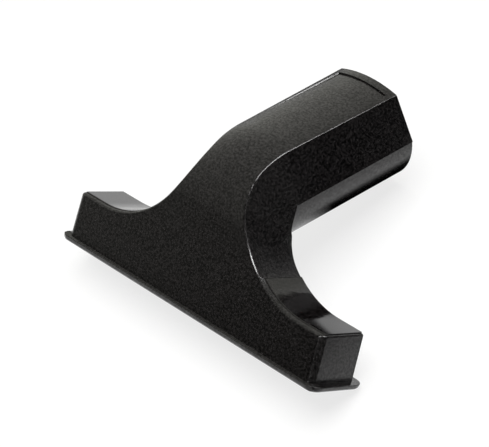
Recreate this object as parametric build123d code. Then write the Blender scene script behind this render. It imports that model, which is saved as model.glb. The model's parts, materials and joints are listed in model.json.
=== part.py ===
from build123d import *
import os
from math import asin, atan2, cos, degrees, hypot, pi, radians, sin, sqrt, tan

# Vacuum upholstery nozzle: one hollow moulding with a wide slot mouth, a flared neck and a hose socket.
# Millimetres. It is drawn mouth down from the centre of the mouth: X along the mouth, Y from the smooth front
# sheet to the hose side, Z up. It is then laid as it comes to rest, on its flange and the end of its tube,
# with the origin on the ground under the middle of its box.

# Foot: the long box above the mouth
foot_length = 120.0
foot_depth = 17.9
foot_height = 17.2
foot_end_draft = 2.4
foot_corner = 2.4
wall = 2.2

# Flange round the mouth
flange_end_overhang = 2.8
flange_front_overhang = 1.7
flange_back_overhang = 3.4
flange_thickness = 2.0
flange_corner = 4.2
flange_edge = 1.0
flange_top_edge = 0.3

# Front sheet: flat, then bent back to become the top of the tube
bend_start = 33.4
bend_radius = 28.0
tube_angle = 26.0
tube_length = 44.6

# Side walls: a quarter circle drawn on the unrolled sheet, from the shoulder up to the neck
neck_half = 11.9
tube_spread = 1.1
flare_radius = 36.4
side_blend = 7.0
corner_blend = 1.0
front_edge = 0.7

# Tube section: a crowned top, sloping sides, and a half round underside below the crease
crease_half = 19.3
crease_depth = 14.9
crown_rise = 2.0
parting_step = 0.25

# Hose socket
socket_bore = 32.2
socket_depth = 32.0
socket_drop = 1.1
socket_lead = 0.8
throat_bore = 30.0
throat_overlap = 4.0

# Sunk panel on the tube's top, raised pads on both shoulders
panel_depth = 0.5
panel_end_rim = 2.9
panel_side_rim = 2.2
pad_height = 0.4
pad_edge = 0.3
pad_start = 28.6
pad_end_rim = 0.9
pad_front_rim = 2.0

front = -foot_depth / 2
back = foot_depth / 2
flange_length = foot_length + 2 * flange_end_overhang
flange_depth = foot_depth + flange_front_overhang + flange_back_overhang
turn = radians(90.0 - tube_angle)
bend_length = bend_radius * turn
bend_end = bend_start + bend_length
tube_end = bend_end + tube_length
flare_x = neck_half + flare_radius
flare_q = foot_height + flare_radius
margin = 4.0

# Stations along the curved walls
flare_steps = 24
neck_steps = 18
crown_steps = 24


def soft_max(a, b, blend):
    """The larger of two lengths, rounded over where they come within the blend of each other."""
    near = max(blend - abs(a - b), 0.0)
    return max(a, b) + near**2 / (4 * blend)


def sheet_angle(q):
    """How far the front sheet has turned at the length q up the sheet from the mouth."""
    return min(max((q - bend_start) / bend_radius, 0.0), turn)


def sheet_point(q, inset=0.0):
    """The (y, z) of the front sheet at the length q, or of a sheet parallel to it on the inside."""
    a = sheet_angle(q)
    r = bend_radius - inset
    on_flat = min(q, bend_start) - bend_start
    on_tube = max(q, bend_end) - bend_end
    y = front + bend_radius - r * cos(a) + on_tube * sin(turn)
    z = bend_start + r * sin(a) + on_flat + on_tube * cos(turn)
    return y, z


def wall_depth(q):
    """How deep the side wall runs below the sheet: to the back plane, or to the crease of the tube."""
    a = sheet_angle(q)
    y, z = sheet_point(q)
    to_back = (back - y) / cos(a)
    crease_y, crease_z = sheet_point(bend_end, crease_depth)
    above_crease = (y - crease_y) * -cos(turn) + (z - crease_z) * sin(turn)
    to_crease = above_crease / cos(turn - a)
    return soft_max(to_back, to_crease, corner_blend)


def spread(q):
    """How much the front edge has moved out again at the length q, on its way to the tube's end."""
    return tube_spread * max(q - flare_q, 0.0) / (tube_end - flare_q)


def flare_half(q):
    """Half width of the front edge at the length q up the sheet, above the shoulder."""
    below = min(max(flare_q - q, 0.0), flare_radius)
    return flare_x - sqrt(flare_radius**2 - below**2) + spread(q)


def side_stations(inset):
    """Half width of the front edge against the length up the sheet, past the foot's end and the tube's."""
    r = flare_radius + inset
    shoulder = flare_q - r
    stations = [(foot_length / 2 + margin, shoulder), ((flare_x + foot_length / 2) / 2, shoulder)]
    for i in range(flare_steps + 1):
        a = pi / 2 * (1 - i / flare_steps)
        stations.append((flare_x - r * cos(a), flare_q - r * sin(a)))
    run = tube_end + margin - flare_q
    for i in range(neck_steps):
        q = flare_q + run * (i + 1) / neck_steps
        stations.append((neck_half + spread(q) - inset, q))
    return stations


def side_cutter(inset):
    """All that lies outside the +X side wall, or outside a wall parallel to it on the inside."""
    fore, aft = [], []
    for half, q in side_stations(inset):
        depth = wall_depth(q)
        crease = soft_max(half, crease_half - inset, side_blend)
        lean = (crease - half) / depth
        for rail, reach in ((fore, -margin), (aft, depth + margin)):
            y, z = sheet_point(q, reach)
            rail.append((half + lean * reach, y, z))
    steps = [i / (len(fore) - 1) for i in range(len(fore))]
    rails = [Edge.make_spline([Vector(*p) for p in rail], parameters=steps) for rail in (fore, aft)]
    ribbon = Face.make_surface_from_curves(*rails)
    return extrude(ribbon, amount=foot_length, dir=(1, 0, 1))


def sheet_plane(q):
    """Plane square to the front sheet at the length q: x along the mouth, y straight in."""
    a = sheet_angle(q)
    return Plane(origin=(0, *sheet_point(q)), x_dir=(1, 0, 0), z_dir=(0, sin(a), cos(a)))


def crown_cutter():
    """All that lies outside the bent sheet, which gains its crown over the bend and keeps it on the tube."""
    arcs = []
    for i in range(crown_steps + 1):
        q = bend_start + (tube_end + margin - bend_start) * i / crown_steps
        share = sheet_angle(q) / turn
        rise = crown_rise * share**2 * (3 - 2 * share)
        half = crease_half + 2 * margin
        arc = Line((-half, 0), (half, 0))
        if rise:
            radius = (flare_half(q) ** 2 + rise**2) / (2 * rise)
            drop = radius - rise - sqrt(radius**2 - half**2)
            arc = ThreePointArc((-half, drop), (0, -rise), (half, drop))
        arcs.append(Wire([sheet_plane(q) * arc]))
    return extrude(Shell.make_loft(arcs).face(), amount=4 * margin, dir=(0, -1, 1))


def crease_corner(inset):
    """Where the tube's crease plane meets the back plane, in side view."""
    y, z = sheet_point(bend_end, crease_depth - inset)
    run = (back - inset - y) / sin(turn)
    return back - inset, z + run * cos(turn)


def foot_end(z):
    """Half length of the foot at a height above the mouth."""
    return foot_length / 2 - z * tan(radians(foot_end_draft))


def foot_slab(inset, low):
    """The foot's full width, as high as the bend, with a little draft on its two ends."""
    low_half, top_half = (foot_end(z) - inset for z in (low, bend_start))
    base = (-low_half, low), (low_half, low)
    top = (top_half, bend_start), (-top_half, bend_start)
    return extrude(Plane.XZ * make_face(Polyline(*base, *top, close=True)), amount=back - inset, both=True)


def outer_neck():
    """Blank of the neck and upper tube, cut to the crowned sheet."""
    rough = Polyline(
        (front, bend_start),
        (front - margin, bend_start + margin),
        sheet_point(bend_end, -2 * margin),
        sheet_point(tube_end, -2 * margin),
        sheet_point(tube_end, crease_depth),
        crease_corner(0),
        (back, bend_start),
        close=True,
    )
    return extrude(Plane.YZ * make_face(rough), amount=crease_half + margin, both=True) - crown_cutter()


def outer_form():
    """Foot, flared neck and upper tube as one solid."""
    cutter = side_cutter(0)
    return foot_slab(0, 0) + outer_neck() - cutter - mirror(cutter, about=Plane.YZ)


def sheet_gap(point):
    """Distance of a point from the uncrowned front sheet, in side view."""
    y, z = point.Y - front - bend_radius, point.Z - bend_start
    if z <= 0:
        return abs(point.Y - front)
    if y * sin(turn) + z * cos(turn) >= 0:
        return abs(z * sin(turn) - y * cos(turn) - bend_radius)
    return abs(hypot(y, z) - bend_radius)


def rounded_form():
    """The outer form with its foot corners, front edges and shoulder ends rounded."""
    form = outer_form()
    uprights = [e for e in form.edges() if e.center().Z < foot_height and abs(e.tangent_at(0.5).Z) > 0.9]
    form = fillet([e for e in uprights if e.center().Y < 0], foot_corner)
    sides = [f for f in form.faces().filter_by(GeomType.BSPLINE) if abs(f.center().X) > neck_half]
    rims = [e for f in sides for e in f.edges()]
    fronts = [e for e in rims if max(sheet_gap(e @ t) for t in (0.2, 0.5, 0.8)) < 0.05]
    ends = [e for e in rims if abs(e.center().X) > foot_end(foot_height) - foot_corner]
    return fillet(fronts + ends, front_edge)


def underside():
    """Half round lower side of the tube, from its end down to the back plane."""
    r = crease_half - parting_step
    key_half = neck_half
    origin = sheet_point(tube_end, crease_depth - parting_step)
    end_plane = Plane(origin=(0, *origin), x_dir=(1, 0, 0), z_dir=(0, -sin(turn), -cos(turn)))
    section = make_face(
        [
            ThreePointArc((-r, 0), (0, -r), (r, 0)),
            Line((r, 0), (key_half, margin)),
            Line((key_half, margin), (-key_half, margin)),
            Line((-key_half, margin), (-r, 0)),
        ]
    )
    run = extrude(end_plane * section, amount=2 * tube_length)
    size = 2 * flange_length
    behind = Pos(0, back - parting_step + size / 2, 0) * Box(size, size, size)
    return run & behind


def flange():
    """Rounded plate round the mouth."""
    y = front - flange_front_overhang + flange_depth / 2
    outline = RectangleRounded(flange_length, flange_depth, flange_corner)
    plate = extrude(Pos(0, y, 0) * outline, flange_thickness)
    plate = fillet(plate.edges().group_by(Axis.Z)[0], flange_edge)
    return fillet(plate.edges().group_by(Axis.Z)[-1], flange_top_edge)


def socket_plane(depth):
    """Plane square to the tube on the socket's axis, the given depth in from the tube's end, facing in."""
    y, z = sheet_point(tube_end - depth, crease_depth + socket_drop)
    return Plane(origin=(0, y, z), x_dir=(1, 0, 0), z_dir=(0, -sin(turn), -cos(turn)))


def cavity():
    """Space inside: the slot behind the mouth, the neck, the throat and the hose socket."""
    stop = bend_end + throat_overlap
    bend_mid = (bend_start + bend_end) / 2
    corner = crease_corner(wall)
    sheet = [
        ThreePointArc(*(sheet_point(q, wall) for q in (bend_start, bend_mid, bend_end))),
        Line(sheet_point(bend_end, wall), sheet_point(stop, wall)),
    ]
    under = Polyline(
        sheet_point(stop, wall),
        sheet_point(stop, crease_depth - wall),
        corner,
        (corner[0], bend_start),
        sheet_point(bend_start, wall),
    )
    neck = extrude(Plane.YZ * make_face([*sheet, *under.edges()]), amount=crease_half + margin, both=True)
    cutter = side_cutter(wall)
    hollow = foot_slab(wall, -margin) + neck - cutter - mirror(cutter, about=Plane.YZ)

    past = tube_end - bend_end + bend_length
    open_side = Polyline(
        sheet_point(stop, wall),
        sheet_point(tube_end, wall),
        sheet_point(tube_end, 3 * crease_depth),
        (back, 0),
        (front + wall, 0),
        sheet_point(bend_start, wall),
    )
    behind = extrude(Plane.YZ * make_face([*sheet, *open_side.edges()]), amount=crease_half, both=True)
    throat = extrude(socket_plane(socket_depth - margin) * Circle(throat_bore / 2), amount=past) & behind
    socket = extrude(socket_plane(0) * Circle(socket_bore / 2), amount=socket_depth)
    from_base = (Align.CENTER, Align.CENTER, Align.MIN)
    lead = Cone(socket_bore / 2 + socket_lead, socket_bore / 2, socket_lead, align=from_base)
    return hollow + throat + socket + socket_plane(0) * lead


def tube_panel():
    """Cutter for the panel sunk into the tube's crowned top, from nothing at the bend to its full depth."""
    stop = tube_end - panel_end_rim
    half = flare_half(stop)
    radius = (half**2 + crown_rise**2) / (2 * crown_rise)
    half -= panel_side_rim
    middle = panel_depth - crown_rise
    side = middle + radius - sqrt(radius**2 - half**2)
    top = side - margin
    section = make_face(
        [
            ThreePointArc((-half, side), (0, middle), (half, side)),
            *Polyline((half, side), (half + margin, top), (-half - margin, top), (-half, side)).edges(),
        ]
    )
    deep, flush = Vector(0, *sheet_point(stop, panel_depth)), Vector(0, *sheet_point(bend_end))
    run_out = flush - deep
    return extrude(sheet_plane(stop) * section, amount=run_out.length + margin, dir=run_out)


def shoulder_pad():
    """The polished pad raised a little above the +X shoulder, behind a rim along its front."""
    stop = foot_end(foot_height) - pad_end_rim
    low, high = Vector(pad_start, front + pad_front_rim, 0), Vector(stop, back, bend_start)
    size = high - low
    block = Pos((low + high) / 2) * Box(size.X, size.Y, size.Z)
    pad = block - side_cutter(-pad_height)
    rims = [e for f in pad.faces().filter_by(GeomType.BSPLINE) for e in f.edges()]
    return fillet([e for e in rims if e.center().X < stop and e.center().Y < back - pad_edge], pad_edge)


def rest_placing(body):
    """Tips the body back on to its flange and tube end, then centres its box over the origin."""
    edge = front - flange_front_overhang + flange_depth - flange_edge, flange_edge
    heel = sheet_point(tube_end, crease_depth + crease_half - 2 * parting_step)
    run, rise = heel[0] - edge[0], heel[1] - edge[1]
    tilt = degrees(atan2(rise, run) + asin(flange_edge / hypot(run, rise)))
    tipped = Rot(X=-tilt) * body
    box = tipped.bounding_box()
    return Pos(0, -box.center().Y, -box.min.Z) * Rot(X=-tilt)


def nozzle():
    """The finished moulding, lying at rest."""
    pad = shoulder_pad()
    solid = rounded_form() + pad + mirror(pad, about=Plane.YZ) + underside() + flange()
    body = solid - cavity() - tube_panel()
    return rest_placing(body) * body


if __name__ == "__main__":
    os.makedirs("parts", exist_ok=True)
    export_step(nozzle(), "parts/nozzle_body.step")
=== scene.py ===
import json
import math

import bmesh
import bpy
from bpy.props import FloatProperty, FloatVectorProperty, PointerProperty
from mathutils import Matrix, Vector


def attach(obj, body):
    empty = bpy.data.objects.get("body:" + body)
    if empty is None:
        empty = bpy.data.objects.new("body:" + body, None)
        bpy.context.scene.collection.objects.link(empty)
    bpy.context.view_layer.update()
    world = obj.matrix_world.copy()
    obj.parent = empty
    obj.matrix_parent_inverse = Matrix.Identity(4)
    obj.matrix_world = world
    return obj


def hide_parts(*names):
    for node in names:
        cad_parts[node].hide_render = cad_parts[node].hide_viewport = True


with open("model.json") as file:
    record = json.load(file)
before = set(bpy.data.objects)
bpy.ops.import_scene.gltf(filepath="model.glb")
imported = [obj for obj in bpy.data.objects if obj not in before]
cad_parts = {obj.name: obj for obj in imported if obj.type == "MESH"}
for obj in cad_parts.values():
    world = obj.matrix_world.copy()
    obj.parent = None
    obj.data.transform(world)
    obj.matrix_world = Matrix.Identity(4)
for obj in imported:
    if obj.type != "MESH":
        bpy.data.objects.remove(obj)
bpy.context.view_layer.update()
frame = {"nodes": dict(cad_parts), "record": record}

bl_info = {
    "name": "Upholstery Nozzle",
    "version": (1, 0, 0),
    "blender": (4, 5, 0),
    "location": "View3D > Sidebar > Nozzle",
    "description": "Dresses a vacuum upholstery nozzle in black moulded plastic and lays it on a pale floor",
    "category": "Object",
}

MOUNTS = {mount["name"]: mount for mount in frame["record"]["mounts"]}
MOUTH = Vector(MOUNTS["mouth_rim"]["pos_m"])
MOUTH_OUT = Vector(MOUNTS["mouth_rim"]["axis"])
SOCKET = Vector(MOUNTS["hose_socket"]["pos_m"])
SOCKET_OUT = Vector(MOUNTS["hose_socket"]["axis"])
SOCKET_RADIUS = MOUNTS["hose_socket"]["dims"]["r_mm"] / 1000

# How far apart points may lie and still be one point, in one plane or on the bore, the last as a factor
ONE_POINT = 1e-6
ONE_PLANE = 2e-5
ON_BORE = 1.02

# Places in the mouth frame: X along the mouth, Y to the back, Z away from the cloth
FLANGE_TOP = 0.002
FLANGE_FRONT = -0.0093
FLANGE_END = 0.0603
FLANGE_DRAFT = math.tan(math.radians(17))
PAD_MIDDLE = (0.045, 0, 0.017)
PAD_BORDER = math.radians(30)
RIM_BACK = -0.0055
RIM_START = 0.027
RIM_LEAST_UP = 0.2
RIM_MOST_FORWARD = -0.6
RIM_LEAN = 0.5

# Grain of the moulding, as settings of its noises and the parts of their range that count
PEBBLE_DETAIL = 3.0
PEBBLE_ROUGHNESS = 0.6
GLOSS_RANGE = (0.35, 0.65)
GLOSS_MOST = 0.5
PATCH_SCALE = 0.05
PATCH_DETAIL = 4.0
SPECK_DETAIL = 2.0
SPECK_RANGE = (0.4, 0.66)
ROUGHNESS_SWING = 0.5

# Plastics in the order of their slots: name, roughness setting, depth of grain, refraction, mottled gloss
SATIN, POLISHED, INSIDE = range(3)
PLASTICS = (
    ("satin black plastic", "satin_roughness", 0.00003, 1.365, True),
    ("polished black plastic", "polish_roughness", 0.000002, 1.45, False),
    ("inside black plastic", "inside_roughness", 0.00002, 1.45, False),
)

# Cloths of the stage
FLOOR_ROUGHNESS = 0.9
BLACK = 0.002
GREY = 0.2

# Cards that stand to the right of the part, on one line of points on the floor
CARD_HEIGHT = 0.13
CARD_LINE = ((0.095, -0.5), (0.095, 0.045), (0.095, 0.15), (0.05, 0.9))

# Gauzes: name, front left and back right corners, heights of the front and back edges, and fades,
# each of which is an axis, the place where the gauze is clear and the place where it is dense
GAUZES = (
    # Painted shade: the first gauze is a black sheet under the tube, seen only in mirrored light, that
    # stands for the floor's shadow there
    ("painted shade flag", (0.004, -0.003), (0.023, 0.046), (0.0104, 0.0004),
     (("X", 0.023, 0.0165), ("Y", -0.003, 0.012))),
    ("dark mat", (-0.3, 0.045), (-0.05, 0.3), (0.0005, 0.0005),
     (("X", -0.05, -0.07), ("Y", 0.045, 0.075))),
    ("dark runner", (0.06, -0.08), (0.12, 0.02), (0.0005, 0.0005),
     (("X", 0.063, 0.1), ("Y", 0.02, 0.0))),
)

# Lamps: name, place, direction of the length, width, length, watts, and the kind of light they are kept from
LAMP_TARGET = (0, -0.01, 0.03)
LAMPS = (
    ("soft panel", (0.1, 0.1, 1.2), (0, 1, 0), 1.0, 1.0, 18.0, "visible_glossy"),
    ("overhead strip", (0.353, 0.356, 0.614), (-0.17, -0.62, 0.39), 0.16, 0.92, 16.0, "visible_diffuse"),
    ("front lamp", (0.19, -0.6, 0.565), (0, 0, 1), 0.05, 0.05, 2.0, "visible_diffuse"),
)

# The room brightens quickly between two cosines to its bright way, by a share, and slowly after that
BRIGHT_WAY = (-0.75, 0.6, 0.3)
QUICK_RISE = (0.13, 0.24)
QUICK_SHARE = 0.49
ROOM_TINT = (1, 1, 0.92, 1)
WHITE = (1, 1, 1, 1)

# The camera in the mouth frame
CAMERA_PLACE = (0.503694, -0.519753, 0.237338)
CAMERA_RIGHT = (0.649128, 0.718034, 0.251120)
CAMERA_UP = (-0.371499, 0.011168, 0.928366)
CAMERA_BACK = (0.663793, -0.695919, 0.273999)
SENSOR_WIDTH = 36.0


class NozzleFinish(bpy.types.PropertyGroup):
    """Finish of the moulding."""

    plastic_color: FloatVectorProperty(
        name="Plastic colour", description="Colour of the black plastic",
        subtype="COLOR", size=3, min=0, max=1, default=(0.0002, 0.0, 0.0))
    grain_color: FloatVectorProperty(
        name="Grain colour", description="Colour of the high spots of the grain",
        subtype="COLOR", size=3, min=0, max=1, default=(0.0125, 0.011, 0.0112))
    satin_roughness: FloatProperty(
        name="Satin roughness", description="Roughness of the grained outside", subtype="FACTOR",
        min=0, max=1, default=0.22)
    polish_roughness: FloatProperty(
        name="Polish roughness", description="Roughness of the shoulders' raised pads", subtype="FACTOR",
        min=0, max=1, default=0.08)
    inside_roughness: FloatProperty(
        name="Inside roughness", description="Roughness of the bore and the air passage", subtype="FACTOR",
        min=0, max=1, default=0.45)
    grain_size: FloatProperty(
        name="Grain size", description="Distance across one bump of the moulded grain", unit="LENGTH",
        min=0.0001, max=0.005, default=0.0007)
    crisp_angle: FloatProperty(
        name="Crisp angle", description="Edges sharper than this stay crisp", subtype="ANGLE",
        min=0, max=math.pi, default=math.radians(28))


class NozzleStage(bpy.types.PropertyGroup):
    """Floor, room and camera."""

    floor_color: FloatVectorProperty(
        name="Floor colour", description="Colour of the pale floor", subtype="COLOR",
        size=3, min=0, max=1, default=(0.9, 0.9, 0.9))
    floor_size: FloatProperty(
        name="Floor size", description="Side of the square floor", unit="LENGTH",
        min=0.5, max=50, default=6.0)
    floor_glow: FloatProperty(
        name="Floor glow", description="Share of the floor's white that no shadow dims", subtype="FACTOR",
        min=0, max=1, default=0.78)
    room_dim: FloatProperty(
        name="Dim side", description="Brightness of the dim side of the room",
        min=0, max=1, default=0.03)
    room_bright: FloatProperty(
        name="Bright side", description="Brightness of the bright side of the room",
        min=0, max=4, default=0.86)
    lens: FloatProperty(
        name="Lens", description="Focal length of the camera", unit="CAMERA",
        min=1, max=1000, default=176.95)


def add_node(tree, kind, values, **settings):
    """A new node with its settings made and values given to some of its inputs."""
    node = tree.nodes.new(kind)
    for name, setting in settings.items():
        setattr(node, name, setting)
    for socket, value in values.items():
        node.inputs[socket].default_value = value
    return node


def new_material(name):
    """A new material with its node tree and the shader in it."""
    material = bpy.data.materials.new(name)
    material.use_nodes = True
    return material, material.node_tree, material.node_tree.nodes["Principled BSDF"]


def shader_group(name, inputs, outputs):
    """An empty shader node group with named inputs and outputs."""
    group = bpy.data.node_groups.new(name, "ShaderNodeTree")
    for sockets, way in ((inputs, "INPUT"), (outputs, "OUTPUT")):
        for label, kind in sockets:
            group.interface.new_socket(label, in_out=way, socket_type=kind)
    return group, group.nodes.new("NodeGroupInput"), group.nodes.new("NodeGroupOutput")


def scaled_position(group, size):
    """Object coordinates counted in steps of a size."""
    place = group.nodes.new("ShaderNodeTexCoord")
    divide = add_node(group, "ShaderNodeVectorMath", {}, operation="DIVIDE")
    group.links.new(place.outputs["Object"], divide.inputs[0])
    group.links.new(size, divide.inputs[1])
    return divide.outputs["Vector"]


def moulded_grain_group():
    """Fine pebbled grain of a moulded surface: a height for the bump, a roughness and a mottled gloss."""
    group, given, put = shader_group(
        "moulded grain",
        [(label, "NodeSocketFloat") for label in ("Size", "Roughness", "Variation")],
        [(label, "NodeSocketFloat") for label in ("Height", "Roughness", "Gloss")])
    place = scaled_position(group, given.outputs["Size"])
    pebbles = add_node(
        group, "ShaderNodeTexNoise", {"Scale": 1.0, "Detail": PEBBLE_DETAIL, "Roughness": PEBBLE_ROUGHNESS})
    group.links.new(place, pebbles.inputs["Vector"])
    group.links.new(pebbles.outputs["Fac"], put.inputs["Height"])
    low, high = GLOSS_RANGE
    gloss = add_node(group, "ShaderNodeMapRange", {"From Min": low, "From Max": high, "To Max": GLOSS_MOST})
    group.links.new(pebbles.outputs["Fac"], gloss.inputs["Value"])
    group.links.new(gloss.outputs["Result"], put.inputs["Gloss"])
    patches = add_node(group, "ShaderNodeTexNoise", {"Scale": PATCH_SCALE, "Detail": PATCH_DETAIL})
    group.links.new(place, patches.inputs["Vector"])
    about_zero = add_node(group, "ShaderNodeMath", {1: 0.5}, operation="SUBTRACT")
    group.links.new(patches.outputs["Fac"], about_zero.inputs[0])
    vary = add_node(group, "ShaderNodeMath", {}, operation="MULTIPLY_ADD")
    group.links.new(about_zero.outputs["Value"], vary.inputs[0])
    group.links.new(given.outputs["Variation"], vary.inputs[1])
    group.links.new(given.outputs["Roughness"], vary.inputs[2])
    group.links.new(vary.outputs["Value"], put.inputs["Roughness"])
    return group


def speckle_group():
    """Speckle of the grain: mixes the plastic's colour with that of its paler high spots."""
    group, given, put = shader_group(
        "grain speckle",
        [("Size", "NodeSocketFloat"), ("Plastic", "NodeSocketColor"), ("High spots", "NodeSocketColor")],
        [("Color", "NodeSocketColor")])
    place = scaled_position(group, given.outputs["Size"])
    specks = add_node(group, "ShaderNodeTexNoise", {"Scale": 1.0, "Detail": SPECK_DETAIL})
    group.links.new(place, specks.inputs["Vector"])
    low, high = SPECK_RANGE
    few = add_node(group, "ShaderNodeMapRange", {"From Min": low, "From Max": high})
    group.links.new(specks.outputs["Fac"], few.inputs["Value"])
    mix = add_node(group, "ShaderNodeMix", {}, data_type="RGBA")
    group.links.new(few.outputs["Result"], mix.inputs["Factor"])
    # A mix node's colours are its inputs 6 and 7 and its output 2
    group.links.new(given.outputs["Plastic"], mix.inputs[6])
    group.links.new(given.outputs["High spots"], mix.inputs[7])
    group.links.new(mix.outputs[2], put.inputs["Color"])
    return group


def plastic_material(plastic, finish, grain_group, speckle):
    """Black moulded plastic with its grain, from a row of the plastics."""
    name, roughness_setting, grain_depth, refraction, mottled = plastic
    roughness = getattr(finish, roughness_setting)
    material, tree, shader = new_material(name)
    shader.inputs["IOR"].default_value = refraction
    grain = add_node(tree, "ShaderNodeGroup", {}, node_tree=grain_group)
    grain.inputs["Size"].default_value = finish.grain_size
    grain.inputs["Roughness"].default_value = roughness
    grain.inputs["Variation"].default_value = roughness * ROUGHNESS_SWING
    bump = add_node(tree, "ShaderNodeBump", {"Strength": 1.0, "Distance": grain_depth})
    tree.links.new(grain.outputs["Height"], bump.inputs["Height"])
    tree.links.new(bump.outputs["Normal"], shader.inputs["Normal"])
    tree.links.new(grain.outputs["Roughness"], shader.inputs["Roughness"])
    if mottled:
        tree.links.new(grain.outputs["Gloss"], shader.inputs["Coat Weight"])
        shader.inputs["Coat Roughness"].default_value = roughness
    specks = add_node(tree, "ShaderNodeGroup", {}, node_tree=speckle)
    specks.inputs["Size"].default_value = finish.grain_size
    specks.inputs["Plastic"].default_value = (*finish.plastic_color, 1)
    specks.inputs["High spots"].default_value = (*finish.grain_color, 1)
    tree.links.new(specks.outputs["Color"], shader.inputs["Base Color"])
    return material


def spread(seeds, passes):
    """The seed faces and all that can be reached from them over edges that pass."""
    reached = set(seeds)
    edge_of_search = list(seeds)
    while edge_of_search:
        face = edge_of_search.pop()
        for edge in face.edges:
            for other in edge.link_faces:
                if other not in reached and passes(edge, other):
                    reached.add(other)
                    edge_of_search.append(other)
    return reached


def mouth_frame():
    """Matrix from the row frame to one with the mouth down: X along the mouth, Z away from the cloth."""
    up = -MOUTH_OUT
    along = Vector((1, 0, 0))
    axes = Matrix((along, up.cross(along), up))
    return axes.to_4x4() @ Matrix.Translation(-MOUTH)


def skin_zones(bm):
    """The faces inside the moulding, and those of the two polished pads on the shoulders."""
    reach = max((v.co - SOCKET).dot(SOCKET_OUT) for v in bm.verts)

    def on_rim(face):
        at_end = all((v.co - SOCKET).dot(SOCKET_OUT) > reach - ONE_PLANE for v in face.verts)
        at_mouth = all((v.co - MOUTH).dot(MOUTH_OUT) > -ONE_PLANE for v in face.verts)
        return at_end or at_mouth

    rims = {face for face in bm.faces if on_rim(face)}

    def in_bore(face):
        arm = face.calc_center_median() - SOCKET
        along = arm.dot(SOCKET_OUT)
        from_axis = (arm - along * SOCKET_OUT).length
        return abs(along) < SOCKET_RADIUS / 2 and from_axis < SOCKET_RADIUS * ON_BORE

    inside = spread([f for f in bm.faces if in_bore(f)], lambda edge, face: face not in rims)
    outer = [f for f in bm.faces if f not in inside]
    from_mouth = mouth_frame().inverted()
    along, back, up = PAD_MIDDLE
    pads = set()
    for side in (-1, 1):
        middle = from_mouth @ Vector((side * along, back, up))
        seed = min(outer, key=lambda f: (f.calc_center_median() - middle).length)
        pads |= spread([seed], lambda edge, face: edge.calc_face_angle(0) < PAD_BORDER)
    return inside, pads


def draft_flange(bm):
    """Draws the flange's front and end edges in towards the cloth, and leaves its back edge alone."""
    to_mouth = mouth_frame()
    from_mouth = to_mouth.inverted()
    for vert in bm.verts:
        place = to_mouth @ vert.co
        inward = (FLANGE_TOP - place.z) * FLANGE_DRAFT
        if inward <= 0:
            continue
        if place.y < FLANGE_FRONT:
            place.y += inward
        if abs(place.x) > FLANGE_END:
            place.x -= math.copysign(inward, place.x)
        vert.co = from_mouth @ place


def lean_rims(mesh):
    """Leans the shading of the rims before the pads to the front, so that they run into the front sheet."""
    to_mouth = mouth_frame()
    to_front = to_mouth.inverted().to_3x3() @ Vector((0, -1, 0))
    normals = [Vector(corner.vector) for corner in mesh.corner_normals]
    for face in mesh.polygons:
        places = [to_mouth @ mesh.vertices[v].co for v in face.vertices]
        facing = to_mouth.to_3x3() @ face.normal
        before_pad = max(p.y for p in places) < RIM_BACK and min(abs(p.x) for p in places) > RIM_START
        faces_up = facing.z >= RIM_LEAST_UP and facing.y >= RIM_MOST_FORWARD
        if face.material_index != SATIN or not before_pad or not faces_up:
            continue
        for corner in face.loop_indices:
            normals[corner] = (normals[corner] + to_front * RIM_LEAN).normalized()
    mesh.normals_split_custom_set(normals)


class NOZZLE_OT_moulding(bpy.types.Operator):
    """Dresses the moulding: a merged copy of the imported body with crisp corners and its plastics"""

    bl_idname = "nozzle.moulding"
    bl_label = "Moulding"

    def execute(self, context):
        finish = context.scene.nozzle_finish
        bm = bmesh.new()
        bm.from_mesh(frame["nodes"]["nozzle_body"].data)
        bmesh.ops.remove_doubles(bm, verts=bm.verts, dist=ONE_POINT)
        for edge in bm.edges:
            edge.smooth = edge.calc_face_angle(0) < finish.crisp_angle
        inside, pads = skin_zones(bm)
        draft_flange(bm)
        for face in bm.faces:
            face.smooth = True
            face.material_index = INSIDE if face in inside else POLISHED if face in pads else SATIN
        mesh = bpy.data.meshes.new("nozzle_skin")
        bm.to_mesh(mesh)
        bm.free()
        grain = moulded_grain_group()
        speckle = speckle_group()
        for plastic in PLASTICS:
            mesh.materials.append(plastic_material(plastic, finish, grain, speckle))
        skin = bpy.data.objects.new("nozzle_skin", mesh)
        context.scene.collection.objects.link(skin)
        lead = skin.modifiers.new("broad faces lead", "WEIGHTED_NORMAL")
        lead.mode = "FACE_AREA"
        lead.keep_sharp = True
        graph = context.evaluated_depsgraph_get()
        finished = bpy.data.meshes.new_from_object(
            skin.evaluated_get(graph), preserve_all_data_layers=True, depsgraph=graph)
        skin.modifiers.clear()
        lean_rims(finished)
        skin.data = finished
        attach(skin, "root")
        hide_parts("nozzle_body")
        return {"FINISHED"}


def floor_material(color, glow):
    """A pale matt floor, part of whose white is its own to the camera and in mirrored light."""
    material, tree, matt = new_material("pale floor")
    matt.inputs["Base Color"].default_value = (*color, 1)
    matt.inputs["Roughness"].default_value = FLOOR_ROUGHNESS
    matt.inputs["Specular IOR Level"].default_value = 0.0
    white = tree.nodes.new("ShaderNodeEmission")
    path = tree.nodes.new("ShaderNodeLightPath")
    seen = path.outputs["Is Camera Ray"]
    for ray in ("Is Glossy Ray", "Is Transmission Ray"):
        either = add_node(tree, "ShaderNodeMath", {}, operation="MAXIMUM")
        tree.links.new(seen, either.inputs[0])
        tree.links.new(path.outputs[ray], either.inputs[1])
        seen = either.outputs["Value"]
    share = add_node(tree, "ShaderNodeMath", {1: glow}, operation="MULTIPLY")
    tree.links.new(seen, share.inputs[0])
    mix = tree.nodes.new("ShaderNodeMixShader")
    tree.links.new(share.outputs["Value"], mix.inputs["Fac"])
    tree.links.new(matt.outputs["BSDF"], mix.inputs[1])
    tree.links.new(white.outputs["Emission"], mix.inputs[2])
    tree.links.new(mix.outputs["Shader"], tree.nodes["Material Output"].inputs["Surface"])
    return material


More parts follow.
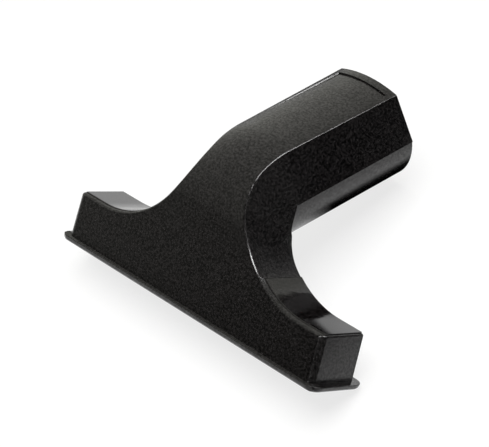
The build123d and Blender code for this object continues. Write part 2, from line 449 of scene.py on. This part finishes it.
def cloth_material(name, shade):
    """Matt cloth of one shade of grey, for the cards and gauzes."""
    material, tree, shader = new_material(name)
    shader.inputs["Base Color"].default_value = (shade, shade, shade, 1)
    shader.inputs["Specular IOR Level"].default_value = 0.0
    return material


def gauze_material(fades):
    """Black gauze that thins out along each of a few axes, from a dense place to a clear one."""
    material = cloth_material("black gauze", BLACK)
    tree = material.node_tree
    place = tree.nodes.new("ShaderNodeTexCoord")
    split = tree.nodes.new("ShaderNodeSeparateXYZ")
    tree.links.new(place.outputs["Object"], split.inputs["Vector"])
    cover = None
    for axis, clear, dense in fades:
        ends = {"From Min": clear, "From Max": dense}
        fade = add_node(tree, "ShaderNodeMapRange", ends, interpolation_type="SMOOTHSTEP")
        tree.links.new(split.outputs[axis], fade.inputs["Value"])
        if cover is None:
            cover = fade.outputs["Result"]
            continue
        both = add_node(tree, "ShaderNodeMath", {}, operation="MULTIPLY")
        tree.links.new(cover, both.inputs[0])
        tree.links.new(fade.outputs["Result"], both.inputs[1])
        cover = both.outputs["Value"]
    tree.links.new(cover, tree.nodes["Principled BSDF"].inputs["Alpha"])
    return material


def lying(front_left, back_right, heights):
    """Corners of a sheet over a rectangle of the floor, with the heights of its front and back edges."""
    left, front = front_left
    right, back = back_right
    low, high = heights
    return [(left, front, low), (right, front, low), (right, back, high), (left, back, high)]


def standing(start, end, height):
    """Corners of an upright sheet on a line between two points of the floor."""
    return [(*start, 0), (*end, 0), (*end, height), (*start, height)]


def flat_quad(name, corners, material):
    """A stage object of one flat face."""
    mesh = bpy.data.meshes.new(name)
    mesh.from_pydata(corners, [], [(0, 1, 2, 3)])
    mesh.materials.append(material)
    quad = bpy.data.objects.new(name, mesh)
    bpy.context.scene.collection.objects.link(quad)
    return quad


def mirrored_only(name, corners, material):
    """A sheet of the stage that shows in mirrored light alone."""
    sheet = flat_quad(name, corners, material)
    sheet.visible_camera = False
    sheet.visible_diffuse = False
    sheet.visible_transmission = False
    sheet.visible_shadow = False


def cards_and_gauzes():
    """The cards and gauzes that give the part's faces something dark to mirror, among them painted shade:
    the flag under the tube stands for the shadowed floor there in mirrored light.
    """
    grey = cloth_material("grey cloth", GREY)
    black = cloth_material("black cloth", BLACK)
    cards = (("grey card", grey), ("dark card", black), ("dark wing", black))
    for (name, cloth), start, end in zip(cards, CARD_LINE, CARD_LINE[1:]):
        mirrored_only(name, standing(start, end, CARD_HEIGHT), cloth)
    for name, front_left, back_right, heights, fades in GAUZES:
        mirrored_only(name, lying(front_left, back_right, heights), gauze_material(fades))


def soft_room(dim, bright):
    """A room that is white to the camera, and lights the part from one side with the rest of it dim."""
    world = bpy.data.worlds.new("soft room")
    world.use_nodes = True
    tree = world.node_tree
    light = tree.nodes["Background"]
    light.inputs["Color"].default_value = ROOM_TINT
    place = tree.nodes.new("ShaderNodeTexCoord")
    bright_way = Vector(BRIGHT_WAY).normalized()
    facing = add_node(tree, "ShaderNodeVectorMath", {1: bright_way}, operation="DOT_PRODUCT")
    tree.links.new(place.outputs["Generated"], facing.inputs[0])
    strength = add_node(tree, "ShaderNodeMath", {}, operation="ADD")
    start, turn = QUICK_RISE
    quick = {"From Min": start, "From Max": turn, "To Min": dim, "To Max": QUICK_SHARE * bright}
    slow = {"From Min": turn, "From Max": 1.0, "To Min": 0.0, "To Max": (1 - QUICK_SHARE) * bright}
    for term, values in enumerate((quick, slow)):
        rise = add_node(tree, "ShaderNodeMapRange", values)
        tree.links.new(facing.outputs["Value"], rise.inputs["Value"])
        tree.links.new(rise.outputs["Result"], strength.inputs[term])
    tree.links.new(strength.outputs["Value"], light.inputs["Strength"])
    backdrop = add_node(tree, "ShaderNodeBackground", {"Color": WHITE})
    path = tree.nodes.new("ShaderNodeLightPath")
    mix = tree.nodes.new("ShaderNodeMixShader")
    tree.links.new(path.outputs["Is Camera Ray"], mix.inputs["Fac"])
    tree.links.new(light.outputs["Background"], mix.inputs[1])
    tree.links.new(backdrop.outputs["Background"], mix.inputs[2])
    tree.links.new(mix.outputs["Shader"], tree.nodes["World Output"].inputs["Surface"])
    return world


def softbox(name, place, along, width, length, watts):
    """A rectangular lamp turned to the part, its length as near as can be along a direction."""
    lamp = bpy.data.lights.new(name, "AREA")
    lamp.shape = "RECTANGLE"
    lamp.size = width
    lamp.size_y = length
    lamp.energy = watts
    box = bpy.data.objects.new(name, lamp)
    behind = (Vector(place) - Vector(LAMP_TARGET)).normalized()
    across = Vector(along).cross(behind).normalized()
    turn = Matrix((across, behind.cross(across), behind)).transposed()
    box.matrix_world = Matrix.Translation(place) @ turn.to_4x4()
    bpy.context.scene.collection.objects.link(box)
    return box


def fitted_camera(lens):
    """The camera, carried from the mouth frame to the row frame."""
    camera = bpy.data.cameras.new("camera")
    camera.sensor_width = SENSOR_WIDTH
    camera.lens = lens
    viewer = bpy.data.objects.new("camera", camera)
    turn = Matrix((CAMERA_RIGHT, CAMERA_UP, CAMERA_BACK)).transposed().to_4x4()
    over_mouth = Matrix.Translation(CAMERA_PLACE) @ turn
    viewer.matrix_world = mouth_frame().inverted() @ over_mouth
    bpy.context.scene.collection.objects.link(viewer)
    return viewer


class NOZZLE_OT_stage(bpy.types.Operator):
    """Lays the pale floor and sets up the cards, the room, the lamps and the camera"""

    bl_idname = "nozzle.stage"
    bl_label = "Stage"

    def execute(self, context):
        scene = context.scene
        settings = scene.nozzle_stage
        half = settings.floor_size / 2
        floor = lying((-half, -half), (half, half), (0, 0))
        flat_quad("floor", floor, floor_material(settings.floor_color, settings.floor_glow))
        cards_and_gauzes()
        scene.world = soft_room(settings.room_dim, settings.room_bright)
        for *lamp, kept_from in LAMPS:
            setattr(softbox(*lamp), kept_from, False)
        scene.camera = fitted_camera(settings.lens)
        scene.view_settings.view_transform = "Standard"
        return {"FINISHED"}


class NOZZLE_PT_panel(bpy.types.Panel):
    """Lists the nozzle's operators and settings"""

    bl_idname = "NOZZLE_PT_panel"
    bl_label = "Upholstery nozzle"
    bl_space_type = "VIEW_3D"
    bl_region_type = "UI"
    bl_category = "Nozzle"

    def draw(self, context):
        for settings, operator in ((context.scene.nozzle_finish, "nozzle.moulding"),
                                   (context.scene.nozzle_stage, "nozzle.stage")):
            self.layout.operator(operator)
            for name in settings.__annotations__:
                self.layout.prop(settings, name)


CLASSES = (NozzleFinish, NozzleStage, NOZZLE_OT_moulding, NOZZLE_OT_stage, NOZZLE_PT_panel)


def register():
    """Registers the classes and hangs the settings on the scene."""
    for each in CLASSES:
        bpy.utils.register_class(each)
    bpy.types.Scene.nozzle_finish = PointerProperty(type=NozzleFinish)
    bpy.types.Scene.nozzle_stage = PointerProperty(type=NozzleStage)


def unregister():
    """Takes the settings and the classes away again."""
    del bpy.types.Scene.nozzle_stage
    del bpy.types.Scene.nozzle_finish
    for each in reversed(CLASSES):
        bpy.utils.unregister_class(each)


def main():
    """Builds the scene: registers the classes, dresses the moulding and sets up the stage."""
    register()
    bpy.ops.nozzle.moulding()
    bpy.ops.nozzle.stage()


if __name__ == "__main__":
    main()
